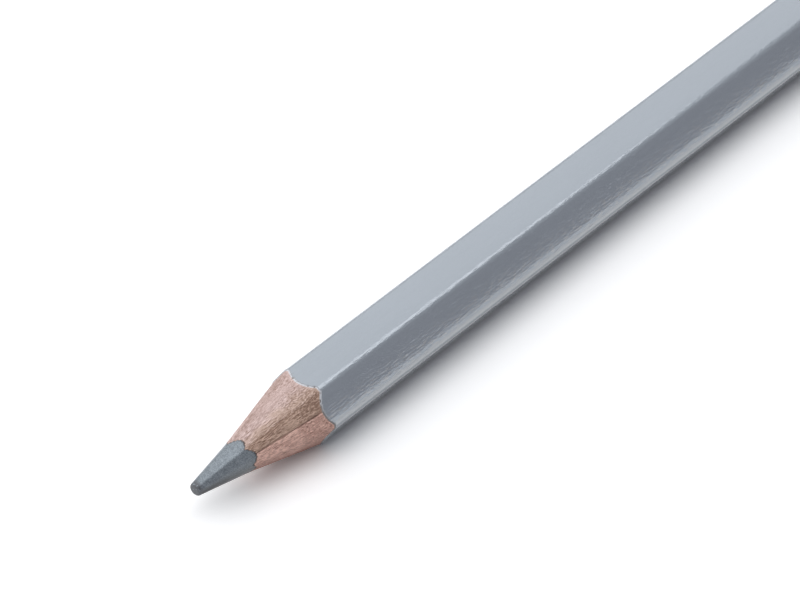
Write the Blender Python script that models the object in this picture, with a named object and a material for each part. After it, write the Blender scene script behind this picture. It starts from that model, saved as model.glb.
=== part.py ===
"""Hexagonal wood-cased colour pencil, sharpened, lying on one of its flats.

The pencil runs along X with its tip at -X. The frame's origin is below its middle, on the surface it lies on.
"""

import math

import bmesh
import bpy
from mathutils import Vector

# Driving dimensions in metres, and angles in degrees
LENGTH = 0.175  # tip to cut end
ACROSS_FLATS = 0.0070  # over the lacquer
CORNER_RADIUS = 0.0007  # rounding of the six long edges, over the lacquer
LACQUER_FILM = 0.00005  # thickness of the colour coat
UNDERCOAT_FILM = 0.00003  # thickness of the pale filler coat under it
CORE_DIAMETER = 0.00345
GLUE_FILM = 0.00006  # thickness of the glue, round the core and between the two casing halves
BOND_GAP = 0.00001  # hairline kept between layers that are bonded on the real pencil
TIP_DIAMETER = 0.0011  # of the core's blunt end, before its edge is rounded
TIP_ROUNDING = 0.0002  # radius of the worn edge round the blunt end
CORE_POINT_LENGTH = 0.00615  # how far the bare core stands out of the wood
WOOD_HALF_ANGLE = 12.9  # slope of the sharpened wood to the pencil's axis, along the middle of a facet
CREASE_SHARE = 1.085  # radius of the point at a crease between its six facets, over that at a facet's middle
SEAM_ANGLE = -30.0  # tilt of the seam plane about the axis, from level

# Fineness of the mesh
FLAT_STEPS = 10  # segments across each flat, for the curve that the sharpener cuts there
CORNER_STEPS = 6  # segments round each long edge
TIP_STEPS = 4  # segments in the tip's rounding
SHARP_ANGLE = 30.0  # edges that turn more than this stay sharp when shaded

# Radii that follow, from the axis outwards
CORE_RADIUS = CORE_DIAMETER / 2
GLUE_BORE = CORE_RADIUS + BOND_GAP
GLUE_RADIUS = GLUE_BORE + GLUE_FILM
GROOVE_RADIUS = GLUE_RADIUS + BOND_GAP

# Depths below the lacquer's surface that follow, from the outside inwards
LACQUER_INSIDE = LACQUER_FILM
UNDERCOAT_OUTSIDE = LACQUER_INSIDE + BOND_GAP
UNDERCOAT_INSIDE = UNDERCOAT_OUTSIDE + UNDERCOAT_FILM
CASING_OUTSIDE = UNDERCOAT_INSIDE + BOND_GAP

SEAM_HALF_GAP = GLUE_FILM / 2 + BOND_GAP  # from the seam plane to the face of each casing half
HALF_FLAT = math.pi / 6  # half the angle that a flat takes up round the axis

# Linear colour, roughness and metallic value of each finish
CORE_FINISH = ((0.21, 0.23, 0.27), 0.55, 0.25)
UPPER_WOOD_FINISH = ((0.58, 0.41, 0.34), 0.75, 0.0)
LOWER_WOOD_FINISH = ((0.56, 0.35, 0.32), 0.75, 0.0)
GLUE_FINISH = ((0.13, 0.08, 0.06), 0.6, 0.0)
UNDERCOAT_FINISH = ((0.72, 0.70, 0.68), 0.6, 0.0)
LACQUER_FINISH = ((0.40, 0.44, 0.50), 0.35, 0.3)


def angle_off_flat(angle):
    """Angle to the middle of the nearest flat. The pencil lies on one of its flats."""
    turn = (angle - HALF_FLAT) % (2 * HALF_FLAT)
    return min(turn, 2 * HALF_FLAT - turn)


def hexagon_radius(angle, depth):
    """Distance from the axis to the layer this deep inside the rounded hexagon."""
    apothem = ACROSS_FLATS / 2 - depth
    rounding = CORNER_RADIUS - depth
    off_flat = angle_off_flat(angle)
    if apothem * math.tan(off_flat) <= (apothem - rounding) * math.tan(HALF_FLAT):
        return apothem / math.cos(off_flat)
    corner_centre = (apothem - rounding) / math.cos(HALF_FLAT)
    off_corner = HALF_FLAT - off_flat
    across = corner_centre * math.sin(off_corner)
    return corner_centre * math.cos(off_corner) + math.sqrt(rounding**2 - across**2)


def facet_share(angle):
    """Radius of the sharpened surface over that at a facet's middle. Each facet is a shallow arc."""
    set_back = (CREASE_SHARE**2 - 1) / (2 - 2 * CREASE_SHARE * math.cos(HALF_FLAT))
    off_flat = angle_off_flat(angle)
    reach = math.sqrt((1 + set_back) ** 2 - (set_back * math.sin(off_flat)) ** 2)
    return reach - set_back * math.cos(off_flat)


def sharpened_x(radius, angle):
    """Distance from the tip at which the sharpened wood has this radius, at this angle round the axis."""
    grown = radius / facet_share(angle) - CORE_RADIUS
    return CORE_POINT_LENGTH + grown / math.tan(math.radians(WOOD_HALF_ANGLE))


def polar(x, radius, angle):
    return Vector((x, radius * math.cos(angle), radius * math.sin(angle)))


def station_angles():
    """Angles round the axis that every layer shares, so that the layers nest."""
    edge_slope = (1 - 2 * CORNER_RADIUS / ACROSS_FLATS) * math.tan(HALF_FLAT)
    flat_edge = math.atan(edge_slope)
    across_flat = [math.atan(edge_slope * (2 * k / FLAT_STEPS - 1)) for k in range(FLAT_STEPS)]
    corner_step = 2 * (HALF_FLAT - flat_edge) / CORNER_STEPS
    round_corner = [flat_edge + k * corner_step for k in range(CORNER_STEPS)]
    flat_middles = [HALF_FLAT * (1 + 2 * side) for side in range(6)]
    return [middle + turn for middle in flat_middles for turn in across_flat + round_corner]


def paint(obj, name, finish):
    colour, roughness, metallic = finish
    material = bpy.data.materials.new(name)
    material.use_nodes = True
    shader = material.node_tree.nodes["Principled BSDF"]
    shader.inputs["Base Color"].default_value = (*colour, 1)
    shader.inputs["Roughness"].default_value = roughness
    shader.inputs["Metallic"].default_value = metallic
    obj.data.materials.append(material)


def add_piece(name, bm, finish):
    bmesh.ops.recalc_face_normals(bm, faces=bm.faces)
    mesh = bpy.data.meshes.new(name)
    bm.to_mesh(mesh)
    bm.free()
    mesh.shade_smooth()
    mesh.set_sharp_from_angle(angle=math.radians(SHARP_ANGLE))
    piece = bpy.data.objects.new(name, mesh)
    bpy.context.collection.objects.link(piece)
    piece.parent = pencil
    paint(piece, name, finish)


def loft(outlines, closed):
    """A body through outlines that stand one after another, capped at both ends unless it closes."""
    bm = bmesh.new()
    rows = [[bm.verts.new(point) for point in outline] for outline in outlines]
    following = rows[1:] + rows[:1] if closed else rows[1:]
    for row, after in zip(rows, following):
        for k in range(len(row)):
            last = k - 1
            bm.faces.new((row[last], row[k], after[k], after[last]))
    if not closed:
        bm.faces.new(rows[0])
        bm.faces.new(rows[-1])
    return bm


def ring_outline(angle, inner, outer):
    """One radial slice of a tube that the sharpener cut at the front and the saw at the back."""
    return [
        polar(sharpened_x(inner, angle), inner, angle),
        polar(sharpened_x(outer, angle), outer, angle),
        polar(LENGTH, outer, angle),
        polar(LENGTH, inner, angle),
    ]


def casing_outline(angle, off_seam=0.0):
    """One slice of the casing from groove to outside, set off sideways from the plane at this angle."""

    def seen_at(radius):
        return angle + math.asin(off_seam / radius)

    beside = hexagon_radius(angle, CASING_OUTSIDE)
    outer = hexagon_radius(seen_at(beside), CASING_OUTSIDE)
    front = [
        polar(sharpened_x(radius, seen_at(radius)), radius, seen_at(radius))
        for radius in (GROOVE_RADIUS, outer)
    ]
    back = [polar(LENGTH, radius, seen_at(radius)) for radius in (outer, GROOVE_RADIUS)]
    return front + back


def add_core():
    """A rod with a faceted point, whose blunt end has a worn edge."""
    tip_radius = TIP_DIAMETER / 2
    slope = math.atan2(CORE_RADIUS - tip_radius, CORE_POINT_LENGTH)
    edge_centre = tip_radius + TIP_ROUNDING * (math.tan(slope) - 1 / math.cos(slope))
    angles = station_angles()
    rings = []
    for step in range(TIP_STEPS + 1):
        turn = math.pi - step / TIP_STEPS * (math.pi / 2 - slope)
        x = TIP_ROUNDING * (1 + math.cos(turn))
        radius = edge_centre + TIP_ROUNDING * math.sin(turn)
        rings.append([polar(x, radius, angle) for angle in angles])
    rings.append([polar(sharpened_x(CORE_RADIUS, angle), CORE_RADIUS, angle) for angle in angles])
    rings.append([polar(LENGTH, CORE_RADIUS, angle) for angle in angles])
    add_piece("colour_core", loft(rings, closed=False), CORE_FINISH)


def add_core_glue():
    rings = [ring_outline(angle, GLUE_BORE, GLUE_RADIUS) for angle in station_angles()]
    add_piece("core_glue", loft(rings, closed=True), GLUE_FINISH)


def add_casing_half(name, first_face, finish):
    """A grooved slat that fills the half turn after its first glued face."""
    last_face = first_face + math.pi
    margin = 2 * math.asin(SEAM_HALF_GAP / GROOVE_RADIUS)
    between = [
        first_face + (angle - first_face) % (2 * math.pi)
        for angle in station_angles()
        if margin < (angle - first_face) % (2 * math.pi) < math.pi - margin
    ]
    outlines = [casing_outline(first_face, SEAM_HALF_GAP)]
    outlines += [casing_outline(angle) for angle in sorted(between)]
    outlines.append(casing_outline(last_face, -SEAM_HALF_GAP))
    add_piece(name, loft(outlines, closed=False), finish)


def add_glue_line(name, angle):
    """A strip of glue between the casing halves, from the core's glue to the casing's outside."""
    faces = [casing_outline(angle, -GLUE_FILM / 2), casing_outline(angle, GLUE_FILM / 2)]
    add_piece(name, loft(faces, closed=False), GLUE_FINISH)


def add_coat(name, outside, inside, finish):
    """A film that follows the hexagon, between two depths under the lacquer's surface."""
    rings = [
        ring_outline(angle, hexagon_radius(angle, inside), hexagon_radius(angle, outside))
        for angle in station_angles()
    ]
    add_piece(name, loft(rings, closed=True), finish)


for old in list(bpy.data.objects):
    bpy.data.objects.remove(old)

# The pieces are made round the X axis from the tip, and hang on an empty that lays the pencil down
pencil = bpy.data.objects.new("pencil", None)
pencil.location = (-LENGTH / 2, 0, ACROSS_FLATS / 2)
bpy.context.collection.objects.link(pencil)

far_seam = math.radians(SEAM_ANGLE)
near_seam = far_seam + math.pi

add_core()
add_core_glue()
add_casing_half("upper_casing_half", far_seam, UPPER_WOOD_FINISH)
add_casing_half("lower_casing_half", near_seam, LOWER_WOOD_FINISH)
add_glue_line("near_glue_line", near_seam)
add_glue_line("far_glue_line", far_seam)
add_coat("undercoat", UNDERCOAT_OUTSIDE, UNDERCOAT_INSIDE, UNDERCOAT_FINISH)
add_coat("lacquer_coat", 0.0, LACQUER_INSIDE, LACQUER_FINISH)
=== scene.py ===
import math

import bpy
import numpy as np
from mathutils import Matrix, Vector, noise


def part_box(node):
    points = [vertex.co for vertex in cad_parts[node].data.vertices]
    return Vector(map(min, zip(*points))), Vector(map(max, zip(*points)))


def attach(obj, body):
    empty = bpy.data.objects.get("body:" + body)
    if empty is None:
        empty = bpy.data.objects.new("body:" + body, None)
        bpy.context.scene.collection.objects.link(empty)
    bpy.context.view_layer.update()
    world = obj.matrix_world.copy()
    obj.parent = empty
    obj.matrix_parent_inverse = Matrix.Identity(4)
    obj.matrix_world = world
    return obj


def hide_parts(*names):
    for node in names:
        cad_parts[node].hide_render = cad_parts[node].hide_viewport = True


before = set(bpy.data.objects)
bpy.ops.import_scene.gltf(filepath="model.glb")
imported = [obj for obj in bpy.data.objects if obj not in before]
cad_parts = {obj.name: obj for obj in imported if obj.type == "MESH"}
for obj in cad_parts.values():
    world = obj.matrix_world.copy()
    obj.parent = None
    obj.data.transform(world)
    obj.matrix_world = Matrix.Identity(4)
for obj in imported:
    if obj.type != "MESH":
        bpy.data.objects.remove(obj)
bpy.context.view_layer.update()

mm = 0.001
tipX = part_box("colour_core")[0].x
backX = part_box("lacquer_coat")[1].x
axisZ = (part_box("lacquer_coat")[0].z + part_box("lacquer_coat")[1].z) / 2
halfFlat = math.pi / 6  # half the angle of a flat, seen from the axis
seamAngle = math.radians(-30)  # of the glued faces, from level
sawnEnd = (90.0, 120.0)  # millimetres from the tip: past these only the cut end shows wood and core
print("frame loaded,", len(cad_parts), "nodes")


# a socket that can stand in a sum, for shader trees and geometry trees alike
class Wire:
    def __init__(self, tree, socket=None):
        self.tree = tree
        self.socket = socket

    def node(self, kind, settings=None, inputs=None, out=0):
        made = self.tree.nodes.new(kind)
        for name, value in (settings or {}).items():
            setattr(made, name, value)
        for key, value in (inputs or {}).items():
            if isinstance(value, Wire):
                self.tree.links.new(value.socket, made.inputs[key])
            else:
                made.inputs[key].default_value = value
        return Wire(self.tree, made.outputs[out] if made.outputs else None)

    def output(self, key):
        return Wire(self.tree, self.socket.node.outputs[key])

    def math(self, operation, *values):
        return self.node("ShaderNodeMath", {"operation": operation}, dict(enumerate(values)))

    def __add__(self, other):
        return self.math("ADD", self, other)

    def __radd__(self, other):
        return self.math("ADD", other, self)

    def __sub__(self, other):
        return self.math("SUBTRACT", self, other)

    def __rsub__(self, other):
        return self.math("SUBTRACT", other, self)

    def __mul__(self, other):
        return self.math("MULTIPLY", self, other)

    def __rmul__(self, other):
        return self.math("MULTIPLY", other, self)

    def __truediv__(self, other):
        return self.math("DIVIDE", self, other)

    def __rtruediv__(self, other):
        return self.math("DIVIDE", other, self)

    def __pow__(self, other):
        return self.math("POWER", self, other)

    def __rpow__(self, other):
        return self.math("POWER", other, self)

    # noise counted from its middle
    def swing(self):
        return self - 0.5

    # 0 below low, 1 above high, eased between
    def rise(self, low, high):
        return self.node(
            "ShaderNodeMapRange",
            {"interpolation_type": "SMOOTHSTEP", "clamp": True},
            {"Value": self, "From Min": low, "From Max": high, "To Min": 0.0, "To Max": 1.0},
        )

    # 1 below low, 0 above high
    def fall(self, low, high):
        return 1.0 - self.rise(low, high)

    # 1 between two eased ends, 0 outside them
    def between(self, start, end):
        return self.rise(*start) * self.fall(*end)

    # from one colour to another as this value goes from 0 to 1
    def tint(self, low, high):
        ends = [end if isinstance(end, Wire) else (*end, 1) for end in (low, high)]
        settings = {"data_type": "RGBA", "clamp_factor": True}
        return self.node("ShaderNodeMix", settings, {0: self, 6: ends[0], 7: ends[1]}, 2)

    # parts of this vector: X, with Y and Z as the node's other outputs
    def split(self):
        return self.node("ShaderNodeSeparateXYZ", inputs={0: self})

    def join(self, x, y, z):
        return self.node("ShaderNodeCombineXYZ", inputs={0: x, 1: y, 2: z})


# the shape that the sharpener left, shared by every piece that it cut
point = {
    "coreRadius": 1.725 * mm,
    "coreLength": 6.15 * mm,  # bare core, along the middle of a facet
    "slope": math.tan(math.radians(12.9)),
    "crease": 1.085,  # radius at a crease over that at a facet's middle
    "creaseEase": 0.05,  # how softly two facets meet
    # small teeth round the core's outline: how many, how uneven, how far out
    "teeth": ((36, 5, 0.014 * mm), (61, 7, 0.008 * mm)),
    # where the core's outline strays further from its circle: angle, spread, how far out
    "stray": (
        (math.radians(45), math.radians(32), -0.13 * mm),
        (math.radians(165), math.radians(30), 0.045 * mm),
    ),
    "unrolled": 2.6 * mm,  # radius at which the wood's grain is laid out
}
barrel = {
    "apothem": 3.5 * mm,
    "corner": 0.7 * mm,
    "crown": 0.02 * mm,  # how far each flat falls away from its middle to the corners
    "backInset": 0.001 * mm,  # of the paint from the saw cut
}
setBack = (point["crease"] ** 2 - 1) / (2 - 2 * point["crease"] * math.cos(halfFlat))


def offFlat(angle):
    return np.abs(np.mod(angle, 2 * halfFlat) - halfFlat)


def facetArc(off):
    return np.sqrt((1 + setBack) ** 2 - (setBack * np.sin(off)) ** 2) - setBack * np.cos(off)


# radius of the sharpened point round the axis, over that at a facet's middle
def facetShare(angle):
    off = offFlat(angle)
    near, far = facetArc(off), facetArc(2 * halfFlat - off)
    ease = point["creaseEase"]
    # the smaller of the two, eased as a Math node's Smooth Minimum is
    dip = np.maximum(ease - np.abs(near - far), 0) / ease
    return np.minimum(near, far) - dip**3 * ease / 6


def hexRadius(angle, depth):
    off = offFlat(angle)
    apothem, corner = barrel["apothem"] - depth, barrel["corner"] - depth
    centre = (apothem - corner) / math.cos(halfFlat)
    across = centre * np.sin(halfFlat - off)
    rounded = centre * np.cos(halfFlat - off) + np.sqrt(np.maximum(corner**2 - across**2, 0))
    onFlat = apothem * np.tan(off) <= (apothem - corner) * math.tan(halfFlat)
    return np.where(onFlat, apothem / np.cos(off), rounded) - barrel["crown"] * (off / halfFlat) ** 2


def sharpX(radius, angle):
    grown = radius / facetShare(angle) - point["coreRadius"]
    return tipX + point["coreLength"] + grown / point["slope"]


# radius at which the core ends and the wood begins
def coreEdge(angle):
    radius = point["coreRadius"] + 0 * angle
    for centre, spread, far in point["stray"]:
        off = np.mod(angle - centre + math.pi, 2 * math.pi) - math.pi
        radius = radius + far * np.exp(-((off / spread) ** 2))
    for count, uneven, far in point["teeth"]:
        swell = 0.6 + 0.4 * np.sin((uneven + 2) * angle + count)  # some teeth larger than others
        radius = radius + far * swell * np.sin(count * angle + 2 * np.sin(uneven * angle))
    return radius


def place(x, radius, angle):
    return np.stack([x + 0 * angle, radius * np.cos(angle), axisZ + radius * np.sin(angle)], -1)


# directions straight out from the axis
def outwardFrom(points):
    outward = points - np.array([0, 0, axisZ])
    outward[..., 0] = 0
    return outward / np.maximum(np.linalg.norm(outward, axis=-1, keepdims=True), 1e-9)


# relief noise at these points, of features this wide and stretch times as long
def grain(points, width, stretch, seed):
    k = 1 / width
    flat = points.reshape(-1, 3)
    values = [noise.noise(Vector((x * k / stretch + seed, y * k, z * k - seed))) for x, y, z in flat]
    return np.array(values).reshape(points.shape[:-1])


# edges that turn further than the sharp angle, in degrees, stay sharp when shaded
def makePiece(name, points, faces, material, sharpAngle=40):
    mesh = bpy.data.meshes.new(name)
    mesh.from_pydata(points, [], faces)
    mesh.validate()
    finishMesh(mesh, material, sharpAngle)
    piece = bpy.data.objects.new(name, mesh)
    bpy.context.scene.collection.objects.link(piece)
    return piece


def finishMesh(mesh, material, sharpAngle):
    mesh.shade_smooth()
    mesh.set_sharp_from_angle(angle=math.radians(sharpAngle))
    mesh.materials.clear()
    mesh.materials.append(material)


# keeps a value for each point in the mesh, for its material or a geometry tree
def notePoints(piece, name, values):
    piece.data.attributes.new(name, "FLOAT", "POINT").data.foreach_set("value", values.ravel())


# faces between rows of points, each row a closed loop; the rows may close into a loop too
def gridFaces(rows, columns, closed=False, flip=False):
    faces = []
    for r in range(rows if closed else rows - 1):
        here, after = r * columns, (r + 1) % rows * columns
        for c in range(columns):
            following = (c + 1) % columns
            a, b, d, e = here + c, here + following, after + c, after + following
            faces.append((a, d, e, b) if flip else (a, b, e, d))
    return faces


# the same, turned round, with a cap on the first row and on the last
def slabFaces(rows, columns):
    last = (rows - 1) * columns
    caps = [tuple(range(columns)), tuple(last + k for k in range(columns))[::-1]]
    return gridFaces(rows, columns, flip=True) + caps


def newMaterial(name):
    material = bpy.data.materials.new(name)
    material.use_nodes = True
    return material, material.node_tree.nodes["Principled BSDF"], Wire(material.node_tree)


shaderSockets = {
    "colour": "Base Color",
    "roughness": "Roughness",
    "metallic": "Metallic",
    "coat": "Coat Weight",
    "normal": "Normal",
}


def feed(shader, **wires):
    for name, wire in wires.items():
        wire.tree.links.new(wire.socket, shader.inputs[shaderSockets[name]])


# place on the object in millimetres, from the tip and the axis, and its parts along, sideways and up
def objectPlace(wire):
    spot = wire.node("ShaderNodeTexCoord").output("Object")
    shifted = wire.node("ShaderNodeVectorMath", {"operation": "SUBTRACT"}, {0: spot, 1: (tipX, 0, axisZ)})
    scaled = wire.node("ShaderNodeVectorMath", {"operation": "SCALE"}, {0: shifted, "Scale": 1 / mm})
    parts = scaled.split()
    return scaled, parts, parts.output("Y"), parts.output("Z")


# cloud noise: features per millimetre along and across the pencil, detail, roughness, offset
def cloud(wire, spot, along, across, detail=3.0, rough=0.55, offset=0.0):
    moved = wire.node(
        "ShaderNodeMapping",
        inputs={"Vector": spot, "Location": (offset, 0, -offset), "Scale": (along, across, across)},
    )
    return wire.node(
        "ShaderNodeTexNoise", inputs={"Vector": moved, "Scale": 1.0, "Detail": detail, "Roughness": rough}
    )


def bump(wire, height, distance):
    return wire.node("ShaderNodeBump", inputs={"Height": height, "Distance": distance, "Strength": 1.0})


# lacquer: silver-grey, semi-gloss, with fine lengthwise streaks, painted shade under the barrel and a painted
# reflection of the floor low on the flats
lacquerLook = {
    "colour": (0.435, 0.48, 0.53),
    "dim": (0.413, 0.456, 0.503),
    "thin": (0.505, 0.52, 0.53),  # painted reflection of the floor beside the lower corners, and scuffs in the scratches, which also stand in for the floor's streaky reflection
    "paintedUnderShade": (0.24, 0.265, 0.29),  # painted shade on the lower corners and under them
    "cut": (0.43, 0.45, 0.48),  # the film's cut edge
    "metallic": 0.33,
    "roughness": 0.1,
    "coat": 0.8,
    "coatRoughness": 0.08,
    "streakHeight": 0.03 * mm,
    "crownHeight": 0.05 * mm,  # how far the flats fall off to the corners, in the shading only
    "sagHeight": 0.09 * mm,  # further fall beside the lower corners, where the paint ran
    # noise of each mark, as cloud takes it
    "fleckNoise": (8.0, 9.0, 2.0),
    "streakNoise": (1.0, 5.0, 2.0, 0.6, 4.0),
    "scratchNoise": (1.8, 9.0, 1.0, 0.5, 15.0),
    "patchNoise": (0.08, 0.25, 2.0, 0.5, 9.0),
    "scratchLevel": (0.51, 0.63),  # of its noise, where a scratch begins and where it is full
    "streakSwing": 1.2,
    "calmSwing": 0.6,  # taken off that where the flats are calm
    "tone": {"fleck": 0.5, "streak": 0.4, "patch": 0.6},  # how far each moves it between dim and colour
    "toneRange": (0.1, 0.9),
    "cover": {"thin": 0.75, "scratchAndGlint": 0.9, "paintedUnderShade": 0.8},  # how much each hides at most
    "fleckShare": 0.2,  # of the streaks' height
    "streakRoughness": 0.1,
    "cutRoughness": 0.5,
    "cutFacing": (0.35, 0.6),  # lengthwise part of the normal
    # heights over the axis in millimetres
    "calmFrom": (0.9, 1.8),  # between these two the streaks are weaker
    "calmTo": (2.9, 3.2),
    # scuffs, and painted reflection of the floor's streaks, below this height
    "scratchAndGlintTo": (0.8, 2.4),
    "lowTo": (0.6, 1.8),
    # painted shade under the barrel below this height
    "underShadeTo": (-0.3, 0.1),
    # shares of the way from a flat's middle to its corner
    "crownFrom": (0.4, 1.0),
    "sagFrom": (0.55, 1.0),
    # painted reflection of the floor, in a strip between these
    "thinFrom": (0.68, 0.82),
    "reflectionTo": (0.88, 0.97),
    # painted shade on the lower corners past this
    "paintedUnderShadeFrom": (0.88, 0.98),
}


def lacquerMaterial():
    look = lacquerLook
    share, cover = look["tone"], look["cover"]
    material, shader, wire = newMaterial("silverLacquer")
    at, _, side, up = objectPlace(wire)
    fleck = cloud(wire, at, *look["fleckNoise"])
    calm = up.between(look["calmFrom"], look["calmTo"])
    swing = look["streakSwing"] - calm * look["calmSwing"]
    streak = cloud(wire, at, *look["streakNoise"]).swing() * swing + 0.5
    # lighter scratches low on the flats: scuffs, and painted reflection of the floor's streaks
    scratchAndGlint = cloud(wire, at, *look["scratchNoise"]).rise(*look["scratchLevel"])
    scratchAndGlint = scratchAndGlint * up.fall(*look["scratchAndGlintTo"])
    patch = cloud(wire, at, *look["patchNoise"])
    tone = fleck.swing() * share["fleck"] + streak.swing() * share["streak"]
    tone = tone + patch.swing() * share["patch"] + 0.5
    turned = wire.math("FLOORED_MODULO", wire.math("ARCTAN2", up, side), 2 * halfFlat)
    fromMiddle = wire.math("ABSOLUTE", turned - halfFlat) / halfFlat
    crown = fromMiddle.rise(*look["crownFrom"]) * (look["crownHeight"] / look["streakHeight"])
    low = up.fall(*look["lowTo"])
    sag = fromMiddle.rise(*look["sagFrom"]) * low * (look["sagHeight"] / look["streakHeight"])
    # painted reflection of the floor, in a pale strip beside the lower corners
    thin = fromMiddle.between(look["thinFrom"], look["reflectionTo"]) * low
    thin = wire.math("MAXIMUM", thin * cover["thin"], scratchAndGlint * cover["scratchAndGlint"])
    # painted shade on the lower corners and under the barrel
    paintedUnderShade = wire.math("MAXIMUM", fromMiddle.rise(*look["paintedUnderShadeFrom"]) * low, up.fall(*look["underShadeTo"]))
    lengthwise = wire.node("ShaderNodeNewGeometry").output("Normal").split()
    cut = wire.math("ABSOLUTE", lengthwise).rise(*look["cutFacing"])
    paint = thin.tint(tone.rise(*look["toneRange"]).tint(look["dim"], look["colour"]), look["thin"])
    paint = (paintedUnderShade * cover["paintedUnderShade"]).tint(paint, look["paintedUnderShade"])
    feed(
        shader,
        colour=cut.tint(paint, look["cut"]),
        roughness=look["roughness"] + streak.swing() * look["streakRoughness"] + cut * look["cutRoughness"],
        metallic=look["metallic"] * (1.0 - cut),
        coat=look["coat"] * (1.0 - cut),
        normal=bump(wire, streak + fleck * look["fleckShare"] - crown - sag, look["streakHeight"]),
    )
    shader.inputs["Coat Roughness"].default_value = look["coatRoughness"]
    return material


# undercoat: pale matt filler, with painted shade in dark patches, more of them low down
undercoatLook = {
    "colour": (0.66, 0.66, 0.69),
    # painted shade
    "dim": (0.26, 0.24, 0.23),
    "roughness": 0.6,
    "smearNoise": (3.0, 3.0),
    "patchShadeTo": (0.48, 0.62),  # level of that noise
    "patchShadeMore": 0.06,  # taken off it everywhere
    "unshadedFrom": (1.2, 3.2),  # height over the axis in millimetres, above which the painted shade thins out
    "unshadedMore": 0.2,  # added to the noise above that
}


def undercoatMaterial():
    look = undercoatLook
    material, shader, wire = newMaterial("paleUndercoat")
    at, _, _, up = objectPlace(wire)
    # painted shade: dark patches, fewer of them higher up
    unshaded = cloud(wire, at, *look["smearNoise"]) + up.rise(*look["unshadedFrom"]) * look["unshadedMore"]
    unshaded = (unshaded - look["patchShadeMore"]).rise(*look["patchShadeTo"])
    feed(shader, colour=unshaded.tint(look["dim"], look["colour"]))
    shader.inputs["Roughness"].default_value = look["roughness"]
    return material


# glue: dark brown, set hard, thin enough in places to look like the wood
glueLook = {
    "colour": (0.5, 0.33, 0.26),
    "dim": (0.08, 0.05, 0.038),
    "roughness": 0.55,
    "thinNoise": (0.8, 1.5),
    "thinFrom": (0.42, 0.64),  # level of that noise
}


def glueMaterial():
    look = glueLook
    material, shader, wire = newMaterial("driedGlue")
    at = objectPlace(wire)[0]
    thin = cloud(wire, at, *look["thinNoise"]).rise(*look["thinFrom"])
    feed(shader, colour=thin.tint(look["dim"], look["colour"]))
    shader.inputs["Roughness"].default_value = look["roughness"]
    return material


# core: grey pigment in wax and clay, cut smooth, with painted shade under it, near the tip and beside the wood
coreLook = {
    "colour": (0.31, 0.35, 0.385),
    "dim": (0.18, 0.204, 0.228),
    "worn": (0.12, 0.125, 0.135),  # the blunt end: worn, and darkened with painted shade
    "under": (0.14, 0.145, 0.142),  # painted shade on the underside
    "tipUnderShade": (0.065, 0.068, 0.07),  # more painted shade on the underside near the tip
    "edgeShade": (0.075, 0.078, 0.08),  # painted shade beside the wood
    "metallic": 0.42,
    "roughness": 0.44,
    "speckHeight": 0.006 * mm,
    # noise of each mark, as cloud takes it
    "speckNoise": (11.0, 11.0, 2.0),
    "smearNoise": (2.5, 3.5, 3.0, 0.5, 3.0),
    "crumbNoise": (6.0, 6.0, 1.0, 0.5, 6.0),
    "crumbLevel": (0.6, 0.7),  # of its noise
    "edgeShadeLevel": (0.3, 0.6),  # of the smear's noise, where the painted shade beside the wood shows
    "tone": {"speck": 2.4, "smear": 0.8, "tip": 0.12},  # how far each moves it between dim and colour; the tip's share is painted shade towards the tip
    "toneRange": (0.15, 0.85),
    "cover": {"under": 0.65, "tipUnderShade": 0.8, "edgeShade": 0.85},  # how much each hides at most
    "smearRoughness": 0.25,
    "underDull": 0.8,  # share of the metallic look that the underside loses, along with its painted shade
    # millimetres from the tip
    "wornUneven": 0.6,
    "wornTo": (0.1, 0.75),
    # painted shade towards the tip, within these
    "tipShadeTo": (0.5, 3.5),
    # more painted shade under the core, within these of the tip
    "tipUnderShadeTo": (2.0, 5.0),
    "underShadeTo": (-0.3, 0.65),  # angle over level on the near side, in radians, below which lies the painted shade
}


def coreMaterial():
    look = coreLook
    share, cover = look["tone"], look["cover"]
    material, shader, wire = newMaterial("greyCore")
    at, along, side, up = objectPlace(wire)
    speck = cloud(wire, at, *look["speckNoise"])
    smear = cloud(wire, at, *look["smearNoise"])
    # the blunt end: worn, and darkened with painted shade; crumbs show paler on it
    worn = (along + smear.swing() * look["wornUneven"]).fall(*look["wornTo"])
    turn = wire.math("ARCTAN2", up, side * -1.0)
    # painted shade on the underside, up to the sawn end
    below = turn.fall(*look["underShadeTo"]) * along.fall(*sawnEnd)
    crumb = cloud(wire, at, *look["crumbNoise"]).rise(*look["crumbLevel"]) * worn
    tone = speck.swing() * share["speck"] + smear.swing() * share["smear"] + 0.5
    # painted shade: darker towards the tip
    tone = tone - along.fall(*look["tipShadeTo"]) * share["tip"]
    # the core's own tone, with painted shade laid on it next
    toneAndShade = tone.rise(*look["toneRange"]).tint(look["dim"], look["colour"])
    toneAndShade = (below * cover["under"]).tint(toneAndShade, look["under"])
    # more painted shade under the core near the tip
    toneAndShade = (below * along.fall(*look["tipUnderShadeTo"]) * cover["tipUnderShade"]).tint(toneAndShade, look["tipUnderShade"])
    # painted shade beside the wood, in patches
    edgeShade = wire.node("ShaderNodeAttribute", {"attribute_name": "edgeShade"}).output("Fac")
    toneAndShade = (edgeShade * smear.rise(*look["edgeShadeLevel"]) * cover["edgeShade"]).tint(toneAndShade, look["edgeShade"])
    feed(
        shader,
        colour=(worn - crumb).tint(toneAndShade, look["worn"]),
        roughness=look["roughness"] + smear.swing() * look["smearRoughness"],
        metallic=look["metallic"] * (1.0 - below * look["underDull"]),
        normal=bump(wire, speck, look["speckHeight"]),
    )
    return material
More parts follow.
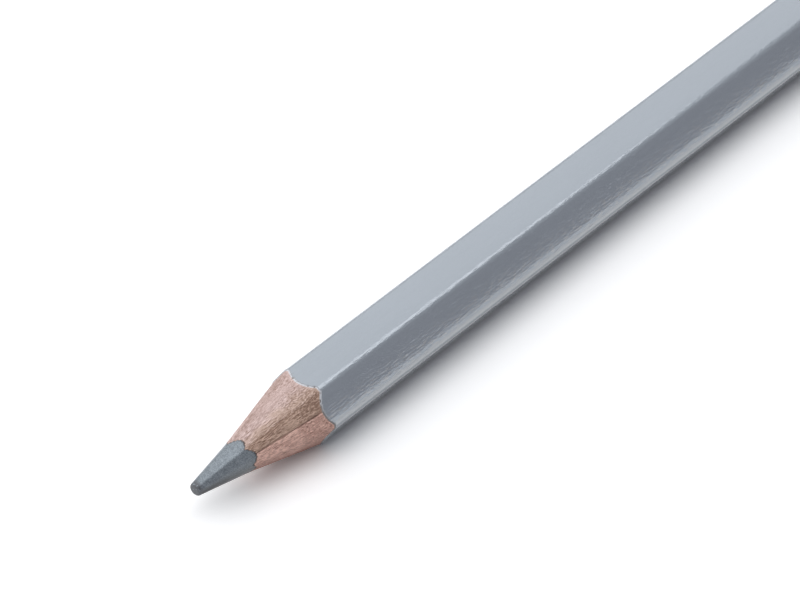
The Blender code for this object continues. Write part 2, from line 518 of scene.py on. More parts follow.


# wood: pinkish softwood, one recipe for both slats, with painted shade on the facet below the crease, the back
# and the underside, and painted highlights along the crease and beside the seam
upperLook = {
    "pale": (0.78, 0.605, 0.57),
    "mid": (0.52, 0.37, 0.335),
    "tanPale": (0.78, 0.59, 0.51),
    "tanMid": (0.50, 0.35, 0.28),
    # the band below the crease: browner wood, with painted shade
    "shadedBandPale": (0.77, 0.54, 0.43),
    "shadedBandMid": (0.32, 0.197, 0.142),
    "pit": (0.27, 0.16, 0.115),
    "seamHighlight": 0.0,  # painted highlight: how much paler the wood is beside the seam
    "seed": 0.0,
}
lowerLook = {
    "pale": (0.955, 0.645, 0.555),
    "mid": (0.56, 0.337, 0.283),
    "tanPale": (0.955, 0.645, 0.555),
    "tanMid": (0.56, 0.337, 0.283),
    # the band on the underside: painted shade
    "shadedBandPale": (0.94, 0.625, 0.528),
    "shadedBandMid": (0.535, 0.312, 0.254),
    "pit": (0.30, 0.145, 0.115),
    # painted highlight beside the seam
    "seamHighlight": 0.45,
    "seed": 21.0,
}
woodLook = {
    "roughness": 0.68,
    "grainHeight": 0.05 * mm,
    "fibreShare": 0.7,  # of the grain's height
    "tickShare": 0.2,
    "fibreRoughness": 0.2,
    # noise of each mark, as cloud takes it, the slat's seed being added to its offset
    "fibreNoise": (0.9, 8.0, 2.0, 0.6, 0),
    "dashNoise": (2.6, 12.5, 1.0, 0.7, 51),  # towards the core
    "tickNoise": (4.6, 10.5, 1.0, 0.7, 11),  # towards the lacquer
    "busyNoise": (0.7, 1.0, 1.0, 0.5, 41),
    "patchNoise": (0.12, 0.7, 2.0, 0.5, 5),
    "blotchNoise": (0.8, 1.1, 1.0, 0.5, 8),
    "wanderNoise": (0.7, 0.05, 2.0, 0.5, 31),
    "busyLevel": (0.35, 0.6),  # of its noise
    "creaseHighlightLevel": (0.5, 0.65),  # of the blotches' noise, where the painted highlight along the crease shows
    # how far each moves the tone between mid and pale
    "tone": {
        "fibre": 1.3,
        "tick": 1.6,
        "busy": 0.8,  # added to the ticks' share
        "shoulder": 0.4,  # taken off it
        "patch": 0.8,
        "blotch": 0.6,
        "pit": 0.25,
        # painted highlight along the crease
        "crest": 0.35,
        "collar": 0.15,
        # painted shade on the side turned to the back
        "far": 0.2,
        # painted shade on the underside
        "low": 0.25,
        # painted shade along the lower edge
        "edge": 0.45,
    },
    "toneRange": (0.05, 0.95),
    "cover": {"stain": 0.85, "pit": 0.6},  # how much each hides at most
    # millimetres from the tip
    "shoulderFrom": (8.5, 12.0),
    "collarFrom": (10.0, 13.0),
    # millimetres from the seam
    # painted highlight between these
    "seamHighlightFrom": (0.03, 0.09),
    "seamHighlightTo": (0.13, 0.22),
    "stainTo": (0.0, 0.14),
    "stainTick": 0.3,  # how far ticks and wandering move the stain's edge
    "stainWander": 0.5,
    # angles over level on the near side, in radians
    # painted highlight on the facet just above the crease, between these
    "creaseHighlightFrom": (1.03, 1.1),
    "creaseHighlightTo": (1.15, 1.4),
    "tanTo": (1.05, 1.6),
    "tanUneven": 0.6,
    # the band between these: browner wood, with painted shade
    "bandFrom": (-1.5, -1.2),
    "bandTo": (0.97, 1.08),
    "bandUneven": 0.2,
    # painted shade on the side turned to the back, past these
    "backShadeFrom": (1.45, 2.2),
    # painted shade on the underside, below these
    "lowTo": (-0.9, -0.2),
    # painted shade along the lower edge, between these
    "underEdgeShadeFrom": (-1.6, -1.2),
    "underEdgeShadeTo": (-0.8, -0.5),
    "sawnTurn": 1.3,  # the angle that all of the cut end takes its colour from
}


def woodMaterial(name, look):
    wood = woodLook
    share, cover = wood["tone"], wood["cover"]
    material, shader, wire = newMaterial(name)
    at, along, side, up = objectPlace(wire)

    def mark(noiseName, spot):
        *features, offset = wood[noiseName]
        return cloud(wire, spot, *features, look["seed"] + offset)

    # the cut wood's grain is laid out on a cylinder, and the cut end shows it end on
    outward = wire.join(0.0, side, up)
    outward = wire.node("ShaderNodeVectorMath", {"operation": "NORMALIZE"}, {0: outward}).split()
    reach = point["unrolled"] / mm
    unrolled = wire.join(along, outward.output("Y") * reach, outward.output("Z") * reach)
    sawn = along.rise(*sawnEnd)
    unrolled = wire.node("ShaderNodeMix", {"data_type": "VECTOR"}, {0: sawn, 4: unrolled, 5: at}, 1)
    turn = wire.math("ARCTAN2", up, side * -1.0) * (1.0 - sawn) + sawn * wood["sawnTurn"]
    offSeam = wire.math("ABSOLUTE", side * math.sin(seamAngle) * -1.0 + up * math.cos(seamAngle))

    fibre = mark("fibreNoise", unrolled)
    shoulder = along.rise(*wood["shoulderFrom"])
    dash = mark("dashNoise", unrolled)
    tick = dash + (mark("tickNoise", unrolled) - dash) * shoulder
    busy = mark("busyNoise", unrolled).rise(*wood["busyLevel"])
    patch = mark("patchNoise", at)
    blotch = mark("blotchNoise", unrolled)
    wander = mark("wanderNoise", at)
    pit = wire.node("ShaderNodeAttribute", {"attribute_name": "pit"}).output("Fac")
    # painted highlight in patches along the crease
    crest = turn.between(wood["creaseHighlightFrom"], wood["creaseHighlightTo"]) * blotch.rise(*wood["creaseHighlightLevel"])
    # painted highlight beside the seam
    seamHighlight = offSeam.between(wood["seamHighlightFrom"], wood["seamHighlightTo"])

    tickTone = share["tick"] + busy * share["busy"] - shoulder * share["shoulder"]
    tone = fibre.swing() * share["fibre"] + tick.swing() * tickTone
    tone = tone + patch.swing() * share["patch"] + blotch.swing() * share["blotch"] + 0.5
    tone = tone - pit * share["pit"] + crest * share["crest"] + seamHighlight * look["seamHighlight"]
    tone = tone - along.rise(*wood["collarFrom"]) * share["collar"]
    # painted shade on the side turned to the back and on the underside
    tone = tone - turn.rise(*wood["backShadeFrom"]) * share["far"] - turn.fall(*wood["lowTo"]) * share["low"]
    # painted shade along the lower edge
    tone = tone - turn.between(wood["underEdgeShadeFrom"], wood["underEdgeShadeTo"]) * share["edge"]
    tone = tone.rise(*wood["toneRange"])

    face = tone.tint(look["mid"], look["pale"])
    tan = tone.tint(look["tanMid"], look["tanPale"])
    # the band below the crease: browner wood, with painted shade
    shadedBand = tone.tint(look["shadedBandMid"], look["shadedBandPale"])
    inTan = (turn + blotch.swing() * wood["tanUneven"]).fall(*wood["tanTo"])
    bandTurn = turn + patch.swing() * wood["bandUneven"] + tick.swing() * wood["bandUneven"]
    inShadedBand = bandTurn.fall(*wood["bandTo"]) * turn.rise(*wood["bandFrom"])
    stained = offSeam - tick.swing() * wood["stainTick"] - wander.swing() * wood["stainWander"]
    stain = stained.fall(*wood["stainTo"]) * cover["stain"]
    dark = wire.math("MAXIMUM", stain, pit * cover["pit"])
    feed(
        shader,
        colour=dark.tint(inShadedBand.tint(inTan.tint(face, tan), shadedBand), look["pit"]),
        roughness=wood["roughness"] + fibre.swing() * wood["fibreRoughness"],
        normal=bump(wire, fibre * wood["fibreShare"] + tick * wood["tickShare"], wood["grainHeight"]),
    )
    return material


# a geometry tree with inputs of these kinds, and its first node
def newTree(name, kinds):
    tree = bpy.data.node_groups.new(name, "GeometryNodeTree")
    for socket, kind in kinds.items():
        tree.interface.new_socket(socket, in_out="INPUT", socket_type="NodeSocket" + kind)
    tree.interface.new_socket("Mesh", in_out="OUTPUT", socket_type="NodeSocketGeometry")
    wire = Wire(tree)
    return tree, wire, wire.node("NodeGroupInput")


# its end, as the export needs it: no instances, and the material set
def endTree(wire, geometry, material):
    whole = wire.node("GeometryNodeRealizeInstances", inputs={"Geometry": geometry})
    dressed = wire.node("GeometryNodeSetMaterial", inputs={"Geometry": whole, "Material": material})
    wire.node("NodeGroupOutput", inputs={0: dressed})


# runs a geometry tree on an object and keeps the result as a plain mesh
def bakeTree(piece, tree, values):
    modifier = piece.modifiers.new(tree.name, "NODES")
    modifier.node_group = tree
    for socket in tree.interface.items_tree:
        if socket.in_out == "INPUT" and socket.name in values:
            modifier[socket.identifier] = values[socket.name]
    graph = bpy.context.evaluated_depsgraph_get()
    mesh = bpy.data.meshes.new_from_object(piece.evaluated_get(graph), depsgraph=graph)
    piece.modifiers.clear()
    piece.data = mesh
    return mesh


# one film of paint, closed from its cut front over the outside to the back and home along the inside
coatSizes = {
    "Apothem": barrel["apothem"],
    "Corner": barrel["corner"],
    "Crown": barrel["crown"],
    "Crease Share": point["crease"],
    "Crease Ease": point["creaseEase"],
    "Core Radius": point["coreRadius"],
    "Core Length": point["coreLength"],
    "Slope": point["slope"],
    "Tip X": tipX,
    "Back X": backX - barrel["backInset"],
    "Axis Z": axisZ,
    "Nicks": 14.0,  # fineness of the ragged front edge
    "Nick Level": 0.4,  # of its noise, past which the edge is torn
    "Ripples Along": 160.0,  # to the metre
    "Ripples Round": 2.5,
}
lacquerCoat = {
    "Depth Out": 0.0,
    "Depth In": 0.066 * mm,
    "Wave": 0.006 * mm,
    "Wave Seed": 3.0,
    "Ragged": 0.35 * mm,  # how far the front edge is torn back
    "Square Cut": 0.85,  # 0 where the film is cut along the point's slope, 1 where it is cut square
    "Rows": 160,
    "Columns": 216,
}
undercoatFilm = {
    "Depth Out": 0.068 * mm,
    "Depth In": 0.095 * mm,
    "Wave": 0.0,
    "Wave Seed": 7.0,
    "Ragged": 0.1 * mm,
    "Square Cut": 0.5,
    "Rows": 8,
    "Columns": 216,
}
coatSharpAngle = 9


def coatTree():
    counts = ("Rows", "Columns")
    kinds = {name: "Int" if name in counts else "Float" for name in {**coatSizes, **lacquerCoat}}
    tree, wire, given = newTree("paintFilm", {**kinds, "Paint": "Material"})
    size = {name: given.output(name) for name in kinds}
    rows, columns = size["Rows"], size["Columns"]

    # a flat grid, whose columns go round the pencil and whose rows go round the film's section: row 0 is the
    # inside's front, the next ones the outside from front to back, the last two the inside's back and front
    grid = wire.node("GeometryNodeMeshGrid", inputs={2: rows + 4, 3: columns + 1})
    spot = wire.node("GeometryNodeInputPosition").split()
    row = wire.math("ROUND", (spot + 0.5) * (rows + 3))
    turn = wire.math("ROUND", (spot.output("Y") + 0.5) * columns) / columns * 6
    side = wire.math("FLOOR", turn + 0.0001)  # a little over, so that rounding doesn't drop a side
    across = wire.math("MAXIMUM", turn - side, 0.0) * 2 - 1
    off = (across * 1.5 - across**3 * 0.5) * halfFlat  # closer columns towards the corners
    angle = side * (2 * halfFlat) + halfFlat + off
    away = wire.math("ABSOLUTE", off)

    # radius of the rounded hexagon, at the film's outside or inside
    outside = wire.math("GREATER_THAN", row, 0.5) * wire.math("LESS_THAN", row, rows + 1.5)
    depth = size["Depth In"] + outside * (size["Depth Out"] - size["Depth In"])
    apothem, corner = size["Apothem"] - depth, size["Corner"] - depth
    centre = (apothem - corner) / math.cos(halfFlat)
    sway = centre * wire.math("SINE", halfFlat - away)
    reach = wire.math("SQRT", wire.math("MAXIMUM", corner * corner - sway * sway, 0.0))
    rounded = centre * wire.math("COSINE", halfFlat - away) + reach
    flat = apothem / wire.math("COSINE", away)
    flatHalf = (apothem - corner) * math.tan(halfFlat)
    inCorner = wire.math("GREATER_THAN", apothem * wire.math("TANGENT", away), flatHalf)
    radius = flat + inCorner * (rounded - flat) - size["Crown"] * (away / halfFlat) * (away / halfFlat)

    # where the sharpener cut it
    crease = size["Crease Share"]
    back = (crease * crease - 1) / (2 - crease * (2 * math.cos(halfFlat)))

    def arc(turned):
        sine = back * wire.math("SINE", turned)
        return wire.math("SQRT", (back + 1) * (back + 1) - sine * sine) - back * wire.math("COSINE", turned)

    share = wire.math("SMOOTH_MIN", arc(away), arc(2 * halfFlat - away), size["Crease Ease"])
    cutRadius = radius + (depth - size["Depth In"]) * size["Square Cut"]
    front = size["Tip X"] + size["Core Length"] + (cutRadius / share - size["Core Radius"]) / size["Slope"]
    cosine, sine = wire.math("COSINE", angle), wire.math("SINE", angle)
    nick = wire.join(cosine * size["Nicks"], sine * size["Nicks"], size["Wave Seed"])
    nick = wire.node("ShaderNodeTexNoise", inputs={"Vector": nick, "Scale": 1.0, "Detail": 3.0})
    front = front + wire.math("MAXIMUM", nick - size["Nick Level"], 0.0) * size["Ragged"]
    along = wire.math("MINIMUM", wire.math("MAXIMUM", (row - 1) / rows, 0.0), 1.0)
    x = front + along * wire.math("LESS_THAN", row, rows + 2.5) * (size["Back X"] - front)

    # slow waves in the outside
    often = size["Ripples Round"]
    flow = wire.join(x * size["Ripples Along"] + size["Wave Seed"], cosine * often, sine * often)
    ripple = wire.node("ShaderNodeTexNoise", inputs={"Vector": flow, "Scale": 1.0, "Detail": 2.0})
    ripple = wire.math("MINIMUM", wire.math("MAXIMUM", ripple, 0.0), 1.0)
    radius = radius - ripple * size["Wave"] * outside * wire.math("GREATER_THAN", row, 1.5)
    spread = wire.join(x, radius * cosine, radius * sine + size["Axis Z"])
    placed = wire.node("GeometryNodeSetPosition", inputs={"Geometry": grid, "Position": spread})
    closed = wire.node("GeometryNodeMergeByDistance", inputs={"Geometry": placed, "Distance": 1e-7})
    endTree(wire, closed, given.output("Paint"))
    return tree


def paintCoat(name, tree, sizes, material):
    piece = bpy.data.objects.new(name, bpy.data.meshes.new(name))
    bpy.context.scene.collection.objects.link(piece)
    mesh = bakeTree(piece, tree, {**coatSizes, **sizes, "Paint": material})
    mesh.flip_normals()
    finishMesh(mesh, material, coatSharpAngle)
    return piece


film = coatTree()
lacquer = paintCoat("lacquerCoat", film, lacquerCoat, lacquerMaterial())
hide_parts("lacquer_coat")
undercoat = paintCoat("undercoatFilm", film, undercoatFilm, undercoatMaterial())
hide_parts("undercoat")
print("coats:", len(lacquer.data.polygons), "and", len(undercoat.data.polygons), "faces")


# the two slats of the casing, each a half turn from its first glued face
casing = {
    "depth": 0.098 * mm,  # of its outside under the lacquer's surface
    "grooveGap": 0.02 * mm,  # from the core to the wood
    "seamGap": 0.018 * mm,  # from the middle of the seam to each slat
    "seamMargin": 1.4,  # such gaps from the seam's middle to the first section line past the glued face
    "turnStep": math.radians(0.55),
    "steps": 170,  # along the sharpened slope
    "endSteps": 10,  # across the sawn end
    "sharpAngle": 50,
    "ragged": 0.03 * mm,  # of the edge beside the core
    "raggedTurns": (9, 30),  # its features to the radian, coarse and fine
    "fibreHeight": 0.02 * mm,
    "pitDepth": 0.035 * mm,
    "creaseWear": 0.055 * mm,
    "creaseSpread": math.radians(11),
    "seamChip": 0.06 * mm,
    "seamSpread": 0.18 * mm,
    "sawDepth": 0.02 * mm,
    "fadeShares": (0.04, 0.03),  # of the slope, where the relief dies out beside the core and the paint
    # from the tip, where long pits give way to short ones
    "shoulder": (8.5 * mm, 12.0 * mm),
    # width of each feature, how many times as long it is, and what is added to the slat's seed
    "fibreGrain": (0.09 * mm, 8, 0),
    "ridgeGrain": (0.25 * mm, 10, 3),
    "oftenGrain": (0.9 * mm, 3, 17),
    "longPitGrain": (0.06 * mm, 7, 53),
    "shortPitGrain": (0.065 * mm, 4, 13),
    "wearGrain": (0.4 * mm, 2, 23),
    "chipGrain": (0.3 * mm, 2.5, 29),
    "sawGrain": (0.25 * mm, 1, 7),
    # shares and levels of that noise; a lift is added to it
    "fibreShare": 0.6,
    "ridgeShare": 0.4,
    "fibreDrop": 0.35,  # keeps most of the relief inside the plain shape
    "oftenShare": 0.35,  # how much pits and fibres crowd together
    "pitFrom": 0.12,
    "pitEase": 0.35,
    "wearLift": 0.5,
    "wearCurve": 1.5,  # how sharply the wear keeps to the crease
    "chipLift": 0.45,
    "sawLift": 0.4,
    "bareShare": 0.6,  # of the fibres' density, where pits neither crowd nor thin out
    "bareMore": 1.6,  # times the crowding, added to that
}


# the slat's plain section lines, one for each angle: up the sharpened slope, then across the sawn end
def slatRows(firstFace, seed):
    size = casing
    count = int(math.pi / size["turnStep"])
    margin = size["seamMargin"] * size["seamGap"] / point["coreRadius"]
    turns = np.concatenate([[0.0], np.linspace(margin, math.pi - margin, count), [math.pi]])
    slopeShare = np.linspace(0, 1, size["steps"])
    endShare = np.linspace(1, 0, size["endSteps"])
    coarse, fine = size["raggedTurns"]
    rows = []
    for k, turn in enumerate(turns):
        edge = 1 if k == 0 else -1 if k == len(turns) - 1 else 0
        angle = firstFace + turn
        torn = noise.noise(Vector((angle * coarse, seed, 0))) + noise.noise(Vector((angle * fine, seed, 2)))
        groove = float(coreEdge(np.array(angle))) + size["grooveGap"]
        inner = groove + torn * size["ragged"]
        outer = float(hexRadius(np.array(angle), size["depth"]))

        def seen(radius):
            return angle + edge * np.arcsin(size["seamGap"] / radius)

        slope = inner + slopeShare * (outer - inner)
        across = groove + endShare * (outer - groove)
        cut = place(sharpX(slope, seen(slope)), slope, seen(slope))
        sawn = place(backX + 0 * across, across, seen(across))
        rows.append(np.concatenate([cut, sawn]))
    return np.array(rows)


def woodSlat(name, firstFace, material, seed):
    size = casing
    rows = slatRows(firstFace, seed)
    cut, sawn = rows[:, : size["steps"]], rows[:, size["steps"] :]
    turned = np.arctan2(cut[..., 2] - axisZ, cut[..., 1])
    reach = point["unrolled"]
    unrolled = np.stack([cut[..., 0], reach * np.cos(turned), reach * np.sin(turned)], -1)

    def carved(points, grainName):
        width, stretch, offset = size[grainName]
        return grain(points, width, stretch, seed + offset)

    relief = carved(unrolled, "fibreGrain") * size["fibreShare"]
    relief += carved(unrolled, "ridgeGrain") * size["ridgeShare"]
    often = carved(unrolled, "oftenGrain") * size["oftenShare"]
    start, end = size["shoulder"]
    shoulder = np.clip((cut[..., 0] - tipX - start) / (end - start), 0, 1)
    hollow = carved(unrolled, "longPitGrain") * (1 - shoulder) + carved(unrolled, "shortPitGrain") * shoulder
    pit = np.clip((hollow + often - size["pitFrom"]) / size["pitEase"], 0, 1)
    onCrease = np.clip(1 - (halfFlat - offFlat(turned)) / size["creaseSpread"], 0, 1) ** size["wearCurve"]
    worn = onCrease * (carved(unrolled, "wearGrain") + size["wearLift"])
    offSeam = np.abs((cut[..., 2] - axisZ) * math.cos(seamAngle) - cut[..., 1] * math.sin(seamAngle))
    chipped = np.clip(carved(unrolled, "chipGrain") + size["chipLift"], 0, 1)
    chipped *= np.clip(1 - offSeam / size["seamSpread"], 0, 1)
    slopeShare = np.linspace(0, 1, size["steps"])
    byCore, byPaint = size["fadeShares"]
    fade = np.clip(np.minimum(slopeShare / byCore, (1 - slopeShare) / byPaint), 0, 1)
    pit *= fade
    lift = (relief - size["fibreDrop"]) * size["fibreHeight"] * fade - pit * size["pitDepth"]
    lift -= (worn * size["creaseWear"] + chipped * size["seamChip"]) * fade
    cut += outwardFrom(cut) * lift[..., None]
    sawn[..., 0] -= np.clip(carved(sawn, "sawGrain") + size["sawLift"], 0, 1) * size["sawDepth"]

    count, width = rows.shape[:2]
    piece = makePiece(name, rows.reshape(-1, 3), slabFaces(count, width), material, size["sharpAngle"])
    dark, bare = np.zeros((count, width)), np.zeros((count, width))
    dark[:, : size["steps"]] = pit
    bare[:, : size["steps"]] = fade * np.clip(size["bareShare"] + size["bareMore"] * often, 0, 1)
    notePoints(piece, "pit", dark)
    notePoints(piece, "bare", bare)
    return piece


upperWood = woodSlat("upperWood", seamAngle, woodMaterial("upperCedar", upperLook), 0.0)
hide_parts("upper_casing_half")
lowerWood = woodSlat("lowerWood", seamAngle + math.pi, woodMaterial("lowerCedar", lowerLook), 40.0)
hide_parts("lower_casing_half")


# torn fibres standing on the cut wood, laid along its grain
fibres = {
    "Density": 14.0,  # on a square millimetre
    "Least": (0.25, 0.022, 0.015),  # length, width and height in millimetres
    "Most": (0.8, 0.045, 0.03),
    "Sway": 0.15,  # how far one turns out of the grain
    "Facing From": -0.7,  # lengthwise part of the normal where they grow, which leaves out the sawn end
    "Facing To": -0.08,
    "Palest": -1.0,  # on a scale where plain wood is 0 and a pit's bottom is 1
    "Darkest": 0.6,
}
fibreSharpAngle = 60


def fibreTree():
    kinds = {"Wood": "Geometry", "Seed": "Int", "Finish": "Material"}
    for name, value in fibres.items():
        kinds[name] = "Vector" if isinstance(value, tuple) else "Float"
    tree, wire, given = newTree("tornFibres", kinds)
    size = {name: given.output(name) for name in kinds}
    grown = wire.node("GeometryNodeTransform", inputs={"Geometry": given, "Scale": (1 / mm, 1 / mm, 1 / mm)})
    facing = wire.node("GeometryNodeInputNormal").split()
    onCut = wire.math("LESS_THAN", facing, size["Facing To"])
    onCut = onCut * wire.math("GREATER_THAN", facing, size["Facing From"])
    bare = wire.node("GeometryNodeInputNamedAttribute", {"data_type": "FLOAT"}, {"Name": "bare"})
    density = size["Density"] * bare
    spots = wire.node(
        "GeometryNodeDistributePointsOnFaces",
        {"distribute_method": "RANDOM"},
        {"Mesh": grown, "Selection": onCut, "Density": density, "Seed": size["Seed"]},
    )
    sway, anyVector = size["Sway"], {"data_type": "FLOAT_VECTOR"}
    left, right = wire.join(1.0, sway * -1.0, sway * -1.0), wire.join(1.0, sway, sway)
    heading = wire.node("FunctionNodeRandomValue", anyVector, {0: left, 1: right, "Seed": 5})
    laid = wire.node(
        "FunctionNodeAlignRotationToVector",
        {"axis": "X", "pivot_axis": "Z"},
        {"Rotation": spots.output("Rotation"), "Vector": heading},
    )
    bulk = {0: size["Least"], 1: size["Most"], "Seed": 8}
    bulk = wire.node("FunctionNodeRandomValue", anyVector, bulk)
    # a four-sided spindle of unit size
    sliver = wire.node("GeometryNodeMeshUVSphere", inputs={"Segments": 4, "Rings": 2, "Radius": 0.5})
    strewn = wire.node(
        "GeometryNodeInstanceOnPoints",
        inputs={"Points": spots, "Instance": sliver, "Rotation": laid, "Scale": bulk},
    )
    shade = {2: size["Palest"], 3: size["Darkest"], "Seed": 12}
    shade = wire.node("FunctionNodeRandomValue", {"data_type": "FLOAT"}, shade, 1)
    toned = wire.node(
        "GeometryNodeStoreNamedAttribute",
        {"data_type": "FLOAT", "domain": "INSTANCE"},
        {"Geometry": strewn, "Name": "pit", "Value": shade},
    )
    shrunk = wire.node("GeometryNodeTransform", inputs={"Geometry": toned, "Scale": (mm, mm, mm)})
    endTree(wire, shrunk, size["Finish"])
    return tree


def woodFibres(name, wood, tree, seed):
    piece = bpy.data.objects.new(name, wood.data.copy())
    bpy.context.scene.collection.objects.link(piece)
    finish = wood.data.materials[0]
    mesh = bakeTree(piece, tree, {**fibres, "Seed": seed, "Finish": finish})
    finishMesh(mesh, finish, fibreSharpAngle)
    return piece


torn = fibreTree()
upperFibres = woodFibres("upperFibres", upperWood, torn, 4)
lowerFibres = woodFibres("lowerFibres", lowerWood, torn, 9)
print("slats:", len(upperWood.data.polygons), "and", len(lowerWood.data.polygons), "faces")
print("fibres:", len(upperFibres.data.polygons), "and", len(lowerFibres.data.polygons), "faces")


# the glue: a sleeve round the core and a strip along each side of the seam
glue = {
    "inner": 0.002 * mm,  # of the sleeve, from the core
    "outer": 0.017 * mm,
    "turns": 288,
    "wander": 0.05 * mm,  # of the sleeve's cut edge, lengthwise
    "wanderRound": 7,
    "stripHalf": 0.015 * mm,
    "stripDepth": 0.01 * mm,  # of the strip's outside under that of the wood
    "sunk": 0.03 * mm,  # how far the strip's cut edge lies under the wood's
    "sunkUneven": 0.4,  # share of that which comes and goes
    "sunkAlong": 4000,  # features to the metre
    "steps": 90,
    "backInset": 0.02 * mm,
}
glueFinish = glueMaterial()


def glueSleeve():
    angles = np.linspace(0, 2 * math.pi, glue["turns"], endpoint=False)
    often = glue["wanderRound"]
    wander = [noise.noise(Vector((math.cos(a) * often, math.sin(a) * often, 1))) for a in angles]
    wander = np.array(wander) * glue["wander"]
    inner, outer = coreEdge(angles) + glue["inner"], coreEdge(angles) + glue["outer"]
    back = backX - glue["backInset"]
    rings = [
        place(sharpX(inner, angles) + wander, inner, angles),
        place(sharpX(outer, angles) + wander, outer, angles),
        place(back, outer, angles),
        place(back, inner, angles),
    ]
    faces = gridFaces(len(rings), glue["turns"], closed=True)
    return makePiece("glueSleeve", np.concatenate(rings), faces, glueFinish)


def glueStrip(name, angle):
    share = np.linspace(0, 1, glue["steps"])
    outer = float(hexRadius(np.array(angle), casing["depth"])) - glue["stripDepth"]
    groove = float(coreEdge(np.array(angle))) + casing["grooveGap"]
    radius = groove + share * (outer - groove)
    ends = np.array([outer, groove])
    often, uneven = glue["sunkAlong"], glue["sunkUneven"]
    rows = []
    for edge in (-1, 1):
        turned = angle + edge * np.arcsin(glue["stripHalf"] / radius)
        low = place(sharpX(radius, turned), radius, turned)
        sunk = [1 - uneven + uneven * noise.noise(Vector((r * often, angle, edge))) for r in radius]
        low -= outwardFrom(low) * np.array(sunk)[:, None] * glue["sunk"]
        back = place(backX - glue["backInset"], ends, angle + edge * np.arcsin(glue["stripHalf"] / ends))
        rows.append(np.concatenate([low, back]))
    return makePiece(name, np.concatenate(rows), slabFaces(len(rows), len(rows[0])), glueFinish)


sleeve = glueSleeve()
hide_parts("core_glue")
nearStrip = glueStrip("nearGlueLine", seamAngle + math.pi)
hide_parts("near_glue_line")
farStrip = glueStrip("farGlueLine", seamAngle)
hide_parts("far_glue_line")
print("glue laid")


# the core: a rod with a faceted point and a worn blunt end
core = {
    "tip": 0.6 * mm,  # radius of the blunt end, with most of its rounding
    "tipRound": 0.26 * mm,
    "flatShare": 0.8,  # of the rounding's radius, which the flat of the blunt end loses
    "roundEnd": math.radians(79),  # how far round the blunt end's edge goes before the slope
    "turns": 288,
    "steps": 120,
    "roundSteps": 10,
    "capSteps": 6,
    "sharpAngle": 60,
    "marks": 0.005 * mm,
    "markGrain": (0.16 * mm, 1.0),
    "markSeed": 11.0,
    "chamferTurn": math.radians(137.7),  # of the narrow extra facet beside one crease
    "chamferShare": (1.07, 1.013),  # its distance over a facet's middle, near the tip and at the wood
    "chamferFacing": 0.2,  # keeps its plane off the far side
    "roundTurn": math.pi,  # of the crease that is rubbed round
    "roundSpread": math.radians(15),
    "roundDepth": 0.045,
    "roundFade": 0.25,  # share of the point's length, beside the wood, where that crease gets sharp again
    "edgeShade": (0.25, 0.6, 1, 1),  # how much painted shade the last rings before the wood get
    "backInset": 0.03 * mm,
}


def coreRod():
    angles = np.linspace(0, 2 * math.pi, core["turns"], endpoint=False)
    back = backX - core["backInset"]
    rings = []
    flatRadius = core["tip"] - core["tipRound"] * core["flatShare"]
    for share in np.linspace(0, 1, core["capSteps"], endpoint=False)[1:]:
        rings.append((0.0, flatRadius * share))
    for share in np.linspace(0, 1, core["roundSteps"]):
        turn = share * core["roundEnd"]
        rings.append((core["tipRound"] * (1 - math.cos(turn)), flatRadius + core["tipRound"] * math.sin(turn)))
    startX, startRadius = rings[-1]
    body = [place(np.array(tipX + x), radius + 0 * angles, angles) for x, radius in rings]
    edge = coreEdge(angles)
    edgeX = sharpX(edge, angles)
    facing = np.maximum(np.cos(angles - core["chamferTurn"]), core["chamferFacing"])
    softened = np.exp(-(((angles - core["roundTurn"]) / core["roundSpread"]) ** 2))
    low, high = core["chamferShare"]
    for share in np.linspace(0, 1, core["steps"])[1:]:
        radius = startRadius + (edge - startRadius) * share
        radius = radius * (1 - core["roundDepth"] * softened * min(1, (1 - share) / core["roundFade"]))
        x = tipX + startX + (edgeX - tipX - startX) * share
        # radius that a facet's middle has at this x, and the extra facet's cut
        gone = (x - tipX - startX) / (point["coreLength"] - startX)
        middle = startRadius + (point["coreRadius"] - startRadius) * gone
        plane = middle * (low + (high - low) * share) / facing
        body.append(place(x, np.minimum(radius, plane), angles))
    body.append(place(np.array(back), edge, angles))
    body = np.array(body)
    # sharpener's marks, on the rounding and the slope only
    rough = grain(body, *core["markGrain"], core["markSeed"]) * core["marks"]
    fade = np.ones(len(body))
    fade[: core["capSteps"] - 1] = 0
    fade[-2:] = 0
    body += outwardFrom(body) * ((rough - core["marks"]) * fade[:, None])[..., None]

    count, width = body.shape[:2]
    points = np.concatenate([body.reshape(-1, 3), [[tipX, 0, axisZ], [back, 0, axisZ]]])
    faces = gridFaces(count, width)
    tip, end = count * width, count * width + 1
    last = (count - 1) * width
    for k in range(width):
        after = (k + 1) % width
        faces.append((after, k, tip))
        faces.append((last + k, last + after, end))
    piece = makePiece("coreRod", points, faces, coreMaterial(), core["sharpAngle"])
    # painted shade on the last rings before the wood, kept for the material
    edgeShade = np.zeros(len(points))
    edgeShade[last - len(core["edgeShade"]) * width : last] = np.repeat(core["edgeShade"], width)
    notePoints(piece, "edgeShade", edgeShade)
    return piece


rod = coreRod()
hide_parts("colour_core")
print("core:", len(rod.data.polygons), "faces")

bonded = [lacquer, undercoat, upperWood, lowerWood, upperFibres, lowerFibres]
bonded += [sleeve, nearStrip, farStrip, rod]
for piece in bonded:
    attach(piece, "root")


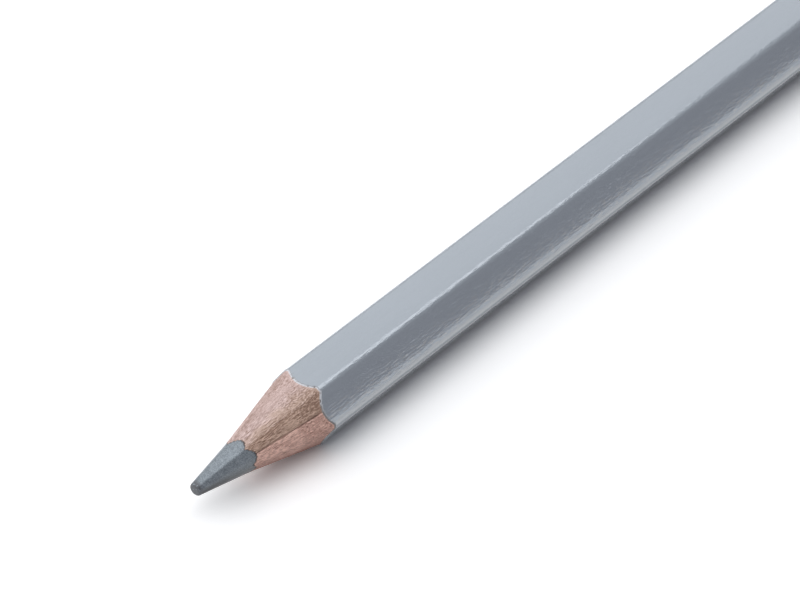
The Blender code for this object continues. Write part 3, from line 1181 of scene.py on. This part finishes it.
# floor, light and camera
stage = {
    "floor": 3.0,  # half its width
    "drop": 0.01 * mm,  # of the floor under the pencil
    "white": 0.64,  # what the floor throws back on the pencil
    "seenWhite": 1.185,  # the floor itself, seen or mirrored
}
room = {
    "horizon": (0.138, 0.128, 0.156),
    "behind": (0.735, 0.755, 0.76),  # the bright wall
    "zenith": (0.284, 0.292, 0.312),
    "side": (-0.75, 0.66, 0.0),  # direction of the bright wall
    "behindFrom": (-0.35, 0.6),  # share of that direction
    "zenithFrom": (0.0, 0.9),  # height
}
keyPanel = {"centre": (-0.325, 0.355, 0.55), "size": (1.05, 1.23), "power": 5.23}
frontPanel = {"centre": (0.302, -0.080, 0.55), "size": (0.21, 0.32), "power": 0.32}
backPanel = {"centre": (0.575, 0.515, 0.55), "size": (0.75, 0.87), "power": 1.19}
view = {
    "azimuth": -48.778,
    "elevation": 41.585,
    "distance": 402.03 * mm,
    "focal": 4521.99,  # in pixels
    "aim": (-76.41 * mm, 0.0, 3.5 * mm),
    "aimPixel": (279.757, 425.31),  # where the aim lies in the picture
    "frame": (800, 601),  # pixels
    "sensor": 36,
    "clip": (0.01, 20),
}


def addFloor():
    half, low = stage["floor"], -stage["drop"]
    material = bpy.data.materials.new("paperWhite")
    material.use_nodes = True
    wire = Wire(material.node_tree)
    wire.tree.nodes.clear()
    path = wire.node("ShaderNodeLightPath")
    seen = wire.math("MAXIMUM", path.output("Is Camera Ray"), path.output("Is Glossy Ray"))
    seen = wire.math("MAXIMUM", seen, path.output("Is Transmission Ray"))
    level = stage["white"] + seen * (stage["seenWhite"] - stage["white"])
    white = wire.node("ShaderNodeCombineColor", inputs={0: level, 1: level, 2: level})
    paper = wire.node("ShaderNodeBsdfDiffuse", inputs={"Color": white})
    wire.node("ShaderNodeOutputMaterial", inputs={"Surface": paper})
    corners = [(-half, -half, low), (half, -half, low), (half, half, low), (-half, half, low)]
    floor = makePiece("floor", corners, [(0, 1, 2, 3)], material)


def addLamp(name, shape):
    lamp = bpy.data.lights.new(name, "AREA")
    lamp.shape = "RECTANGLE"
    lamp.size, lamp.size_y = shape["size"]
    lamp.energy = shape["power"]
    holder = bpy.data.objects.new(name, lamp)
    holder.location = shape["centre"]
    bpy.context.scene.collection.objects.link(holder)


def addWorld():
    world = bpy.data.worlds.new("room")
    world.use_nodes = True
    wire = Wire(world.node_tree)
    facing = wire.node("ShaderNodeTexCoord").output("Generated")
    height = facing.split().output("Z")
    dot = {"operation": "DOT_PRODUCT"}
    behind = wire.node("ShaderNodeVectorMath", dot, {0: facing, 1: room["side"]}, "Value")
    low = behind.rise(*room["behindFrom"]).tint(room["horizon"], room["behind"])
    sky = height.rise(*room["zenithFrom"]).tint(low, room["zenith"])
    wire.tree.links.new(sky.socket, world.node_tree.nodes["Background"].inputs["Color"])
    bpy.context.scene.world = world


def addCamera():
    turn, tilt = math.radians(view["azimuth"]), math.radians(view["elevation"])
    back = Vector((math.sin(turn) * math.cos(tilt), -math.cos(turn) * math.cos(tilt), math.sin(tilt)))
    right = Vector((math.cos(turn), math.sin(turn), 0))
    up = back.cross(right)
    wide, high = view["frame"]
    perPixel = view["distance"] / view["focal"]
    sideways = (view["aimPixel"][0] - wide / 2) * perPixel
    upward = (view["aimPixel"][1] - high / 2) * perPixel
    spot = Vector(view["aim"]) + back * view["distance"] - right * sideways + up * upward
    camera = bpy.data.cameras.new("camera")
    camera.sensor_width = view["sensor"]
    camera.sensor_fit = "HORIZONTAL"
    camera.lens = view["focal"] / wide * camera.sensor_width
    camera.clip_start, camera.clip_end = view["clip"]
    holder = bpy.data.objects.new("camera", camera)
    holder.matrix_world = Matrix.Translation(spot) @ Matrix((right, up, back)).transposed().to_4x4()
    bpy.context.scene.collection.objects.link(holder)
    bpy.context.scene.camera = holder


addFloor()
addLamp("keyPanel", keyPanel)
addLamp("frontPanel", frontPanel)
addLamp("backPanel", backPanel)
addWorld()
addCamera()
bpy.context.scene.view_settings.view_transform = "Standard"
print("stage set")
